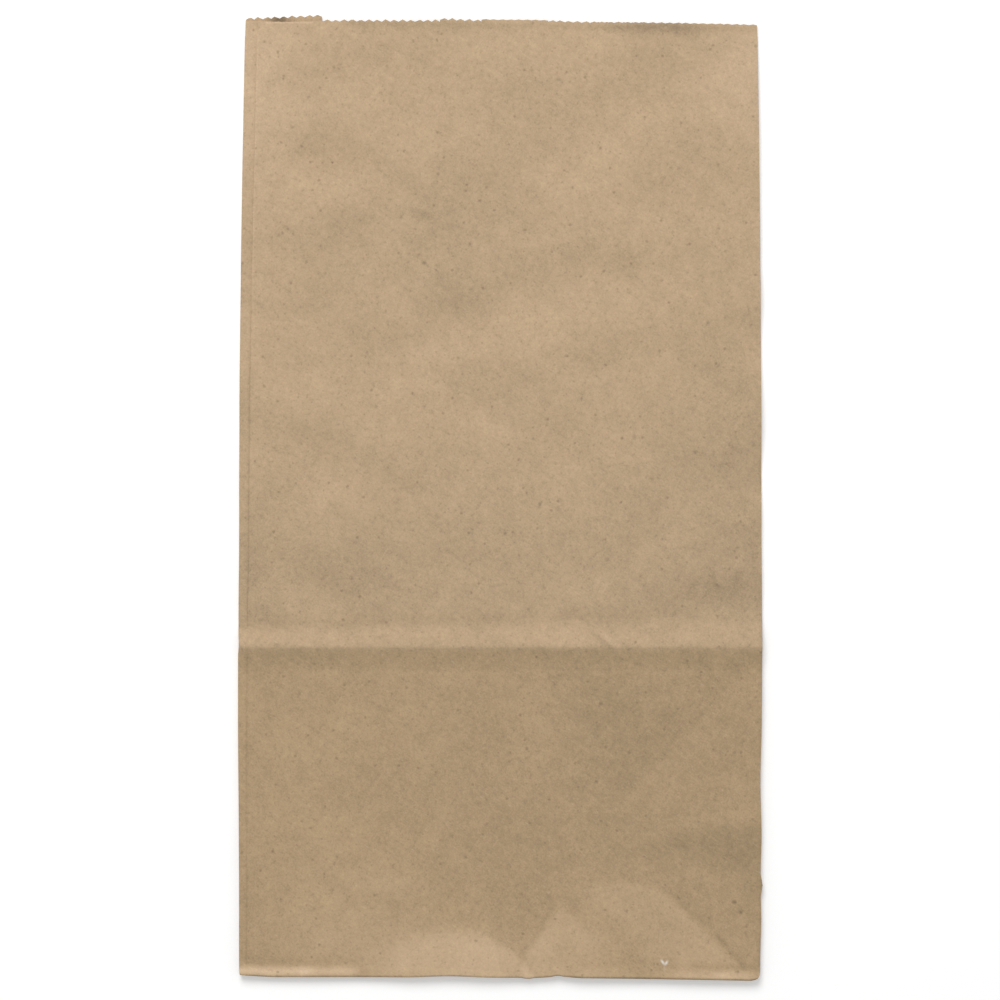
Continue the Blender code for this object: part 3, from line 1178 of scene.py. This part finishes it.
@dataclass(frozen=True)
class KraftPaper:
    """Brown kraft paper with fibres and flecks, and painted light and shade on its walls and folds.

    Lengths on the sheet are in millimetres. Each of the patterns cloud, mottle, speckle and grain is
    its waves for each millimetre and its strength. Each pair named after a place is where a soft
    change starts and where it ends: heights in the flat stack for the walls, and distances from the
    bottom fold for the rest.
    """

    base: Colour = (0.506, 0.366, 0.226)
    # The folded bottom's colour is the base made darker: painted shade.
    shaded_folded_base: Colour = (0.453, 0.323, 0.188)
    fleck: Colour = (0.15, 0.095, 0.05)
    pale_fibre: Colour = (0.66, 0.53, 0.38)
    scuffed: Colour = (0.86, 0.82, 0.74)
    cloud: Pair = (0.04, 0.2)
    mottle: Pair = (0.22, 0.28)
    speckle: Pair = (0.75, 0.34)
    grain: Pair = (2.0, 0.46)
    octaves: float = 2.0
    few_octaves: float = 1.0
    front_wall: Pair = (1.6, 1.68)
    rear_wall: Pair = (1.2, 1.24)
    rear_wall_top: Pair = (1.43, 1.47)
    folded_end: Pair = (94.3, 97.3)
    # Over this span the front wall darkens toward the folded bottom: painted shade.
    near_fold: Pair = (96.3, 171.3)
    near_fold_shade: float = -0.05
    # A dark line along the bottom fold, on every panel: painted shade where the paper rolls round the
    # fold.
    fold_line: Pair = (0.1, 0.5)
    fold_line_shade: float = -0.22
    lit_green: float = 0.06
    lit_blue: float = 0.3
    blot_depth: Pair = (0.1, 0.26)
    blot: float = 0.12
    warp_scale: float = 1.1
    warp_reach: float = 0.6
    flecks: tuple[Flecks, ...] = (Flecks(0.19, 0.8, 0.02, 0.12, 0.4), Flecks(0.42, 0.6, 0.03, 0.18, 0.24))
    fibre_layers: tuple[Pair, ...] = ((0.7, 0.24), (-0.9, 0.22))
    fibre_stretch: Point = (0.5, 2.2, 1.0)
    fibre_height: Pair = (0.14, 0.28)
    relief: Point = (0.3, 0.5, 0.5)
    relief_strength: float = 0.4
    relief_depth: float = 0.12 * MM
    roughness: float = 0.86
    roughness_change: float = 0.1
    refraction: float = 1.45
    specular: float = 0.35
    front_shading_and_specks: tuple[Mark, ...] = ()
    rear_gape_shading: tuple[Mark, ...] = ()
    scuffs: tuple[Mark, ...] = ()

    def material(self) -> bpy.types.Material:
        """Build the material.

        Returns:
            The new material.
        """
        material = bpy.data.materials.new("kraft_paper_finish")
        material.use_nodes = True
        board = NodeBoard(material.node_tree)
        spot = Spot.read(board)

        patterns = (self.cloud, self.mottle, self.speckle, self.grain)
        waves = [board.waves(spot.pulp, scale, self.octaves) for scale, _ in patterns]
        shade = 1 + sum(wave * strength for wave, (_, strength) in zip(waves, patterns))
        speckle = waves[2]

        front = spot.z.over(*self.front_wall)
        rear = spot.z.over(*self.rear_wall) * (1 - spot.z.over(*self.rear_wall_top))
        folded = 1 - spot.y.over(*self.folded_end)
        # The front wall's painted light and shade, with its dark specks, summed as one change of
        # brightness.
        light_shade_and_specks = (1 - spot.y.over(*self.near_fold)) * self.near_fold_shade
        for mark in self.front_shading_and_specks:
            light_shade_and_specks = light_shade_and_specks + mark.mask(spot) * mark.strength
        shade = shade + front * light_shade_and_specks
        # Painted shadow inside the mouth's gape, on the rear wall.
        for mark in self.rear_gape_shading:
            shade = shade + rear * mark.mask(spot) * mark.strength
        # Painted shade along the bottom fold.
        shade = shade + (1 - spot.y.over(*self.fold_line)) * self.fold_line_shade

        # The front wall's folded bottom takes the darker colour: painted shade.
        paper = board.mix(front * folded, (*self.base, 1.0), (*self.shaded_folded_base, 1.0))
        colour = board.vector("SCALE", {0: paper, "Scale": shade})
        lit = (front * light_shade_and_specks).math("MAXIMUM", 0.0)
        paler = {"X": 1.0, "Y": 1 + lit * self.lit_green, "Z": 1 + lit * self.lit_blue}
        colour = board.vector("MULTIPLY", {0: colour, 1: board.node("ShaderNodeCombineXYZ", None, paler)})
        blots = (0 - speckle).over(*self.blot_depth) * self.blot
        colour = board.mix(self._flecks(spot) + blots, colour, (*self.fleck, 1.0))
        colour = board.mix(self._fibres(spot), colour, (*self.pale_fibre, 1.0))
        for scuff in self.scuffs:
            colour = board.mix(front * scuff.mask(spot) * scuff.strength, colour, (*self.scuffed, 1.0))

        bump_values = {
            "Strength": self.relief_strength,
            "Distance": self.relief_depth,
            "Height": sum(wave * share for wave, share in zip(waves[1:], self.relief)),
        }
        surface_values = {
            "Base Color": colour,
            "Roughness": self.roughness + speckle * self.roughness_change,
            "Normal": board.node("ShaderNodeBump", None, bump_values, "Normal"),
            "IOR": self.refraction,
            "Specular IOR Level": self.specular,
        }
        surface = board.node("ShaderNodeBsdfPrincipled", None, surface_values)
        board.node("ShaderNodeOutputMaterial", None, {"Surface": surface})
        material.diffuse_color = (*self.base, 1.0)
        return material

    def _flecks(self, spot: Spot) -> Signal:
        """Return the mask of the dark specks and short dark fibres in the pulp."""
        warp_values = {"Vector": spot.pulp, "Scale": self.warp_scale, "Detail": self.few_octaves}
        warp = spot.board.node("ShaderNodeTexNoise", None, warp_values, "Color")
        shift = spot.board.vector("SCALE", {0: warp, "Scale": self.warp_reach})
        bent = spot.board.vector("ADD", {0: spot.pulp, 1: shift})
        return sum(flecks.mask(spot.board, bent) for flecks in self.flecks)

    def _fibres(self, spot: Spot) -> Signal:
        """Return the mask of the pale fibres on the surface."""
        layers = []
        for turn, strength in self.fibre_layers:
            values = {"Vector": spot.pulp, "Rotation": (0, 0, turn), "Scale": self.fibre_stretch}
            turned = spot.board.node("ShaderNodeMapping", None, values)
            wave = spot.board.waves(turned, 1.0, self.few_octaves)
            layers.append(wave.over(*self.fibre_height) * strength)
        return sum(layers)


@dataclass(frozen=True)
class WhiteFloor:
    """The plain pale floor."""

    colour: Colour = (0.92, 0.92, 0.92)
    lift: float = 0.2
    far_lift: float = 0.4
    far_from: float = 0.15
    far_to: float = 1.4
    half_size: float = 40.0

    def material(self) -> bpy.types.Material:
        """Build the floor's material: matt white, lifted a little for the camera only.

        Returns:
            The new material.
        """
        material = bpy.data.materials.new("white_floor")
        material.use_nodes = True
        board = NodeBoard(material.node_tree)
        matt = board.node("ShaderNodeBsdfDiffuse", None, {"Color": (*self.colour, 1.0)})
        place = board.node("ShaderNodeTexCoord", None, None, "Object")
        away = board.vector("LENGTH", {0: place}, "Value")
        lift = board.seen() * (self.lift + self.far_lift * away.over(self.far_from, self.far_to))
        white = board.vector("SCALE", {0: (1.0, 1.0, 1.0), "Scale": lift})
        glow = board.node("ShaderNodeEmission", None, {"Color": white, "Strength": 1.0})
        both = board.node("ShaderNodeAddShader", None, {0: matt, 1: glow})
        board.node("ShaderNodeOutputMaterial", None, {"Surface": both})
        return material

    def build(self) -> bpy.types.Object:
        """Lay the floor under the bag.

        Returns:
            The floor.
        """
        size = self.half_size
        corners = [(-size, -size, 0.0), (size, -size, 0.0), (size, size, 0.0), (-size, size, 0.0)]
        mesh = bpy.data.meshes.new("floor")
        mesh.from_pydata(corners, [], [(0, 1, 2, 3)])
        mesh.materials.append(self.material())
        floor = new_object("floor", mesh)
        return floor


@dataclass
class Studio:
    """Soft plain light, a white surround and the camera."""

    key_place: Point = (-0.3, 1.2, 1.35)
    key_size: float = 1.1
    key_power: float = 21.5
    surround: float = 0.5
    camera_height: float = 1.219
    camera_aim: Pair = (-0.1 * MM, -0.7 * MM)
    lens: float = 150.0
    sensor: float = 36.0
    clip_start: float = 0.01

    def light(self) -> None:
        """Add the key lamp and the surround."""
        lamp = bpy.data.lights.new("key", "AREA")
        lamp.shape = "DISK"
        lamp.size = self.key_size
        lamp.energy = self.key_power
        key = new_object("key", lamp)
        key.location = self.key_place
        key.rotation_euler = Vector(self.key_place).to_track_quat("Z", "Y").to_euler()

        world = bpy.data.worlds.new("surround")
        world.use_nodes = True
        board = NodeBoard(world.node_tree)
        strength = self.surround + board.seen() * (1 - self.surround)
        sky = board.node("ShaderNodeBackground", None, {"Color": (1, 1, 1, 1), "Strength": strength})
        board.node("ShaderNodeOutputWorld", None, {"Surface": sky})
        bpy.context.scene.world = world

    def camera(self) -> None:
        """Add the camera, straight above the bag."""
        lens = bpy.data.cameras.new("camera")
        lens.type = "PERSP"
        lens.lens = self.lens
        lens.sensor_width = self.sensor
        lens.clip_start = self.clip_start
        eye = new_object("camera", lens)
        eye.location = (*self.camera_aim, self.camera_height)
        bpy.context.scene.camera = eye


RIPPLES = (
    Ripple(0.6, 55.0, 70.0, 3.7),
    Ripple(1.5, 22.0, 17.0, 11.2, 45.0, -70.0),
    Ripple(0.25, 9.0, 8.0, 27.0),
)
# Places are on the flat sheet, in millimetres. Sizes follow, then the lift, shift or strength.
MOUNDS = (
    Mound(-12.0, 0.0, 32.0, 18.0, 0.35),
    Mound(24.0, 3.0, 26.0, 24.0, 0.3),
    Mound(-56.0, 246.0, 15.0, 9.0, 0.45),
    Mound(-2.0, 251.0, 12.0, 8.0, 0.45),
    Mound(-56.5, 215.7, 12.0, 9.0, 0.6),
    Mound(34.0, 212.0, 10.0, 8.0, 0.4),
    Mound(-15.0, 190.5, 17.0, 9.0, -0.6),
    Mound(21.0, 184.5, 17.0, 8.0, 0.55),
    Mound(-57.0, 184.0, 13.0, 8.0, 0.5),
    Mound(-57.0, 154.0, 15.0, 9.0, -0.65),
    Mound(-45.0, 134.0, 22.0, 12.0, 0.8),
    Mound(66.0, 120.0, 18.0, 10.0, 0.5),
    Mound(-33.0, 24.0, 17.0, 7.0, 0.3),
)
CREASES = (
    Crease((76.0, 96.0), (32.0, 50.0), 4.0, -0.2),
    Crease((-76.0, 96.0), (-40.0, 60.0), 4.5, -0.08),
    Crease((10.0, 136.0), (23.0, 108.0), 5.0, 0.5),
    Crease((28.0, 250.0), (47.0, 236.5), 4.5, -0.5),
    Crease((-66.0, 123.0), (-43.0, 107.0), 4.5, -0.45),
    Crease((72.0, 46.0), (44.0, 40.0), 5.0, 0.3),
    Crease((72.0, 3.0), (34.0, 29.0), 4.0, 0.25),
    Crease((-0.5, 18.0), (8.1, 0.5), 3.0, -0.3),
)
NICKS = (
    Nick(-76.2, 0.0, 11.0, 0.0, 0.45),
    Nick(-14.7, 0.0, 13.0, 0.0, 0.35),
    Nick(8.1, 0.0, 2.6, 0.0, -0.35),
    Nick(17.5, 0.0, 7.0, 0.0, 0.4),
    Nick(16.7, 0.0, 1.8, 0.0, 0.3),
    Nick(76.2, 28.2, 2.6, 0.75, 0.0),
    Nick(76.2, 28.5, 14.0, -0.3, 0.0),
    Nick(76.2, 100.0, 34.0, 0.2, 0.0),
    Nick(76.2, 57.0, 16.0, -0.35, 0.0),
    Nick(76.2, 4.0, 18.0, -0.42, 0.0),
    Nick(-76.2, 82.0, 60.0, -0.33, 0.0),
    Nick(-76.2, 97.0, 4.0, 0.2, 0.0),
)
# Soft patches that make the front wall lighter or darker: painted light and shade of its soft relief.
RELIEF_LIGHT_AND_SHADE = (
    SoftPatch(-76.0, 262.0, 26.0, 50.0, 0.13),
    SoftPatch(74.0, 266.0, 30.0, 36.0, 0.1),
    SoftPatch(48.0, 280.0, 22.0, 8.0, -0.14),
    SoftPatch(-20.0, 216.0, 40.0, 38.0, -0.07),
    SoftPatch(-12.0, 199.0, 18.0, 11.0, -0.05),
    SoftPatch(-24.0, 183.0, 18.0, 5.0, 0.06),
    SoftPatch(70.0, 150.0, 50.0, 60.0, -0.07),
    SoftPatch(66.0, 113.0, 24.0, 8.0, -0.1),
    SoftPatch(-40.0, 121.0, 26.0, 14.0, -0.1),
    SoftPatch(-72.0, 118.0, 10.0, 12.0, -0.07),
    SoftPatch(-58.0, 52.0, 36.0, 60.0, 0.05),
    SoftPatch(-32.0, 28.0, 20.0, 6.5, 0.08),
    SoftPatch(-30.0, 8.0, 40.0, 24.0, 0.14),
    SoftPatch(-50.0, 24.0, 40.0, 30.0, 0.05),
    SoftPatch(-4.0, 5.0, 15.0, 12.0, 0.12),
    SoftPatch(48.0, 8.0, 40.0, 22.0, 0.02),
    SoftPatch(55.0, 92.0, 40.0, 8.0, 0.05),
)
# Painted shade and a painted highlight round a small dent in the upper front wall.
DENT_LIGHT_AND_SHADE = (
    Stroke((-26.0, 223.8), (-20.2, 221.8), 2.3, -0.13),
    Stroke((-17.0, 223.2), (-12.9, 223.8), 1.9, -0.14),
    Stroke((-20.0, 218.6), (-18.9, 216.0), 1.0, -0.08),
    Stroke((-27.3, 221.5), (-25.3, 219.5), 0.8, 0.07),
)
# Painted light and shade of the flat areas and creases of the folded bottom, as they tilt toward or away
# from the light.
FACET_LIGHT_AND_SHADE = (
    Facet(
        (
            (-40.0, 4.0, 6.0), (-30.0, -2.0, 2.0), (12.0, -2.0, 1.0), (4.0, 7.5, 1.2),
            (-6.0, 13.5, 2.5), (-20.0, 14.0, 5.0),
        ),
        0.2,
    ),
    Facet(
        (
            (6.5, -1.0, 2.0), (34.0, -6.0, 8.0), (28.0, 14.0, 3.0), (17.0, 20.5, 1.2),
            (7.0, 6.0, 1.2),
        ),
        0.2,
    ),
    Facet(
        (
            (26.0, -3.0, 3.0), (77.0, -3.0, 1.0), (46.5, 26.0, 2.0), (36.0, 28.5, 2.5),
            (24.0, 27.0, 3.0),
        ),
        0.05,
    ),
    Facet(((33.0, 48.0, 1.2), (77.0, 95.0, 3.0), (10.0, 95.0, 10.0)), -0.065),
    Facet(((36.0, 37.0, 5.0), (80.0, 27.0, 4.0), (80.0, 46.0, 3.0), (58.0, 44.0, 3.0)), -0.07),
    SoftPatch(74.0, 37.0, 28.0, 9.0, -0.07),
    Facet(
        (
            (75.3, -0.5, 0.8), (46.5, 26.8, 2.0), (36.0, 28.6, 2.0), (22.0, 27.0, 6.0),
            (54.0, -3.0, 2.0),
        ),
        0.1,
    ),
    Stroke((62.5, 13.6), (71.8, 4.0), 1.2, -0.09),
    Stroke((53.0, 22.3), (61.0, 15.6), 1.2, -0.04),
    Stroke((38.5, 29.8), (48.5, 35.3), 0.7, 0.03),
    Stroke((56.0, 3.8), (80.0, 4.0), 1.5, -0.08),
    SoftPatch(-48.0, 9.0, 14.0, 8.0, 0.04),
    SoftPatch(30.0, 4.0, 12.0, 6.0, -0.03),
    Stroke((40.0, 44.0), (73.0, 48.0), 2.5, 0.03),
)
# Painted light and shade along the bottom fold, the ridge where the folded bottom ends, the pasted seam
# and the mouth.
EDGE_LIGHT_AND_SHADE = (
    Stroke((-80.0, 1.7), (-56.0, 1.6), 2.5, 0.44),
    Stroke((-58.0, 1.6), (-42.0, 1.6), 2.5, 0.34),
    Stroke((-42.0, 1.2), (-16.0, 1.2), 2.4, -0.06),
    Stroke((-76.0, 5.0), (-34.0, 4.8), 2.0, -0.03),
    SoftPatch(-64.0, 9.0, 26.0, 14.0, 0.05),
    Stroke((20.0, 4.2), (72.0, 4.2), 2.2, -0.04),
    Stroke((50.0, 0.9), (66.0, 1.1), 2.2, 0.12),
    Stroke((63.0, 1.2), (80.0, 1.4), 2.3, 0.19),
    Stroke((20.0, 0.1), (80.0, 0.1), 0.6, -0.12),
    Stroke((-80.0, 0.8), (-66.0, 0.8), 1.6, 0.1),
    Stroke((27.0, 100.6), (33.0, 95.4), 1.3, -0.14),
    Stroke((29.0, 101.0), (34.6, 96.4), 1.3, 0.1),
    Stroke((-60.0, 89.0), (74.0, 89.0), 1.2, 0.025),
    Stroke((-73.0, 90.0), (-68.0, 86.0), 2.0, -0.04),
    Stroke((-68.0, 86.0), (-66.5, 70.0), 2.0, -0.05),
    Stroke((-46.0, 278.6), (76.0, 277.0), 1.6, -0.07),
    Stroke((-46.0, 277.6), (6.0, 277.2), 3.2, -0.07),
    Stroke((30.0, 277.2), (60.0, 276.6), 2.6, -0.12),
    Stroke((-74.2, 2.0), (-73.6, 95.0), 0.7, -0.05),
    Stroke((-73.6, 98.0), (-73.1, 190.0), 0.6, -0.03),
    Stroke((-72.9, 195.0), (-72.5, 276.0), 0.7, 0.06),
    Stroke((-75.8, 71.1), (-74.9, 71.1), 0.35, 0.12),
    Stroke((-70.5, 278.8), (-56.0, 278.8), 0.45, 0.18),
    Stroke((15.8, 3.2), (16.8, 1.4), 1.0, 0.1),
    SoftPatch(8.0, 8.5, 13.0, 10.0, 0.1),
    SoftPatch(20.0, 98.0, 24.0, 3.0, 0.05),
)
SPECKS = (
    SoftPatch(68.4, 22.6, 1.1, 0.8, -0.45),
    SoftPatch(70.3, 19.7, 1.0, 0.9, -0.4),
    SoftPatch(-18.4, 234.6, 0.8, 0.8, -0.35),
    SoftPatch(7.7, 66.8, 0.8, 0.8, -0.3),
    SoftPatch(29.3, 79.9, 0.9, 0.9, -0.3),
    SoftPatch(28.1, 57.1, 0.8, 0.8, -0.3),
    SoftPatch(70.4, 65.7, 0.8, 0.8, -0.3),
    SoftPatch(17.3, 262.1, 1.4, 0.8, -0.25),
    SoftPatch(-61.5, 248.3, 1.2, 0.8, -0.2),
    SoftPatch(-22.3, 208.5, 1.0, 0.9, -0.28),
    SoftPatch(39.1, 157.8, 1.0, 1.3, -0.2),
    SoftPatch(60.7, 191.2, 0.8, 0.8, -0.28),
    SoftPatch(57.1, 153.4, 1.0, 0.8, -0.28),
    SoftPatch(11.6, 138.2, 0.9, 0.9, -0.28),
    SoftPatch(1.4, 129.6, 0.8, 0.8, -0.28),
)
# All the painted light and shade of the front wall, with its dark specks.
FRONT_SHADING_AND_SPECKS = (*RELIEF_LIGHT_AND_SHADE, *DENT_LIGHT_AND_SHADE, *FACET_LIGHT_AND_SHADE, *EDGE_LIGHT_AND_SHADE, *SPECKS)
# Painted shadow inside the gape at the left end of the mouth, seen on the rear wall, with a faint painted
# light beside it.
MOUTH_GAPE_SHADING = (
    SoftPatch(-66.0, 280.0, 5.5, 3.0, -0.52),
    SoftPatch(-73.0, 280.4, 4.0, 3.0, 0.05),
)
SCUFFS = (
    Stroke((47.0, 5.6), (47.75, 4.5), 0.6, 0.8),
    Stroke((48.8, 5.3), (48.1, 4.3), 0.6, 0.8),
    Stroke((47.9, 4.0), (47.9, 2.4), 0.5, 0.12),
)


def main() -> None:
    """Build the sheet, its finish, the floor, the light and the camera."""
    logging.basicConfig(level=logging.INFO, format="%(name)s: %(message)s")
    bpy.context.scene.view_settings.view_transform = "Standard"

    finish = KraftPaper(front_shading_and_specks=FRONT_SHADING_AND_SPECKS, rear_gape_shading=MOUTH_GAPE_SHADING, scuffs=SCUFFS).material()
    teeth = MouthTeeth(finish)
    piece = FoldedSheet(teeth, ripples=RIPPLES, mounds=MOUNDS, creases=CREASES, nicks=NICKS).build()
    log.info("%s: %d faces", piece.name, len(piece.data.polygons))

    floor = WhiteFloor().build()
    log.info("%s laid", floor.name)
    studio = Studio()
    studio.light()
    studio.camera()
    log.info("light and camera set")


if __name__ == "__main__":
    main()
